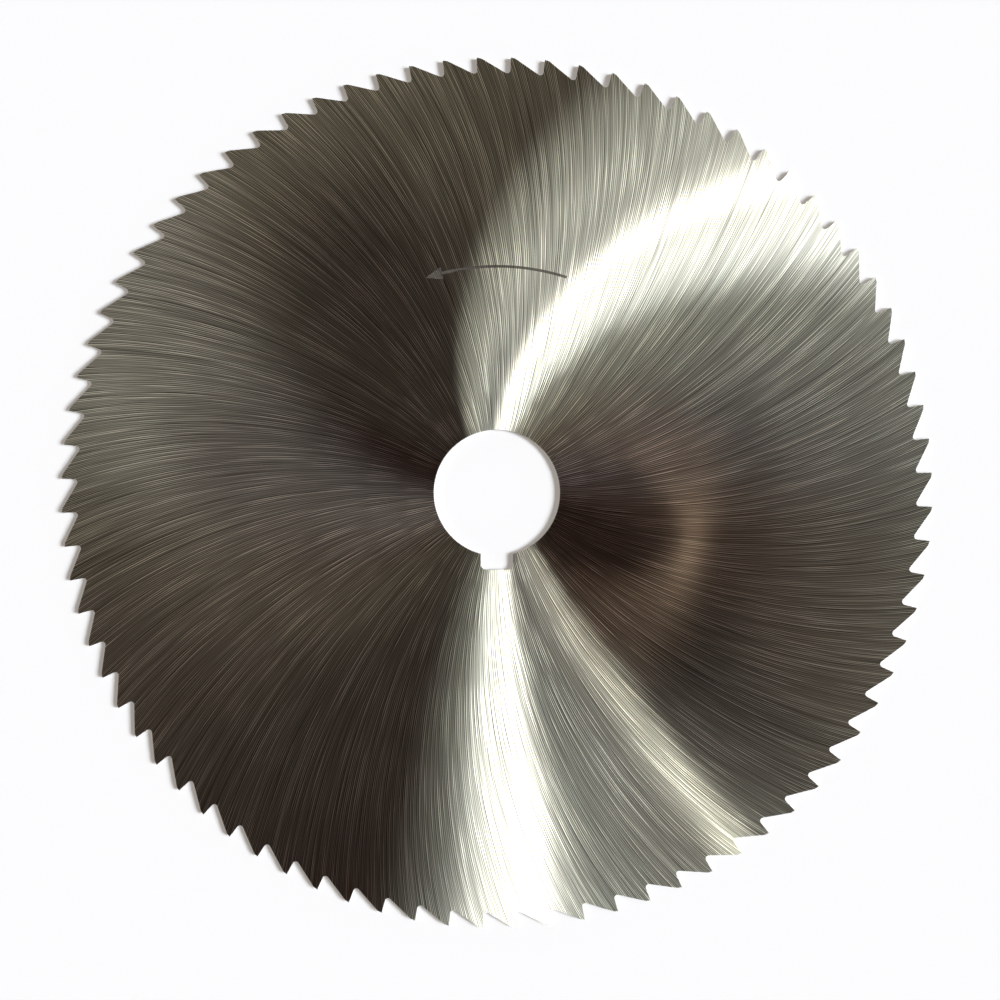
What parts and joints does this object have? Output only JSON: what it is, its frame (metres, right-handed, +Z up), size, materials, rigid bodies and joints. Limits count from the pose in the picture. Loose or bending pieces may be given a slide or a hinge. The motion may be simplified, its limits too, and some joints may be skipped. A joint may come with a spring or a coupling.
{
  "type": "slitting saw",
  "caption": "Thin round metal slitting saw blade with fine radial-faced teeth, a keyed arbor bore and sides ground hollow, for cutting narrow slots on a milling machine.",
  "frame": {"origin": "on the bore's axis, in the plane of the lower tooth corners that the blade lies on", "axes": "+Z up along the bore's axis, keyway towards -Y, cutting direction anticlockwise seen from +Z"},
  "size_m": [0.175, 0.175, 0.001],
  "materials": {
    "ground_steel": "hardened high-speed steel, sides ground to a satin with fine grinding lines that sweep out from the bore in arcs"
  },
  "bodies": {
    "root": {"saw_blade": "ground_steel"}
  },
  "joints": []
}
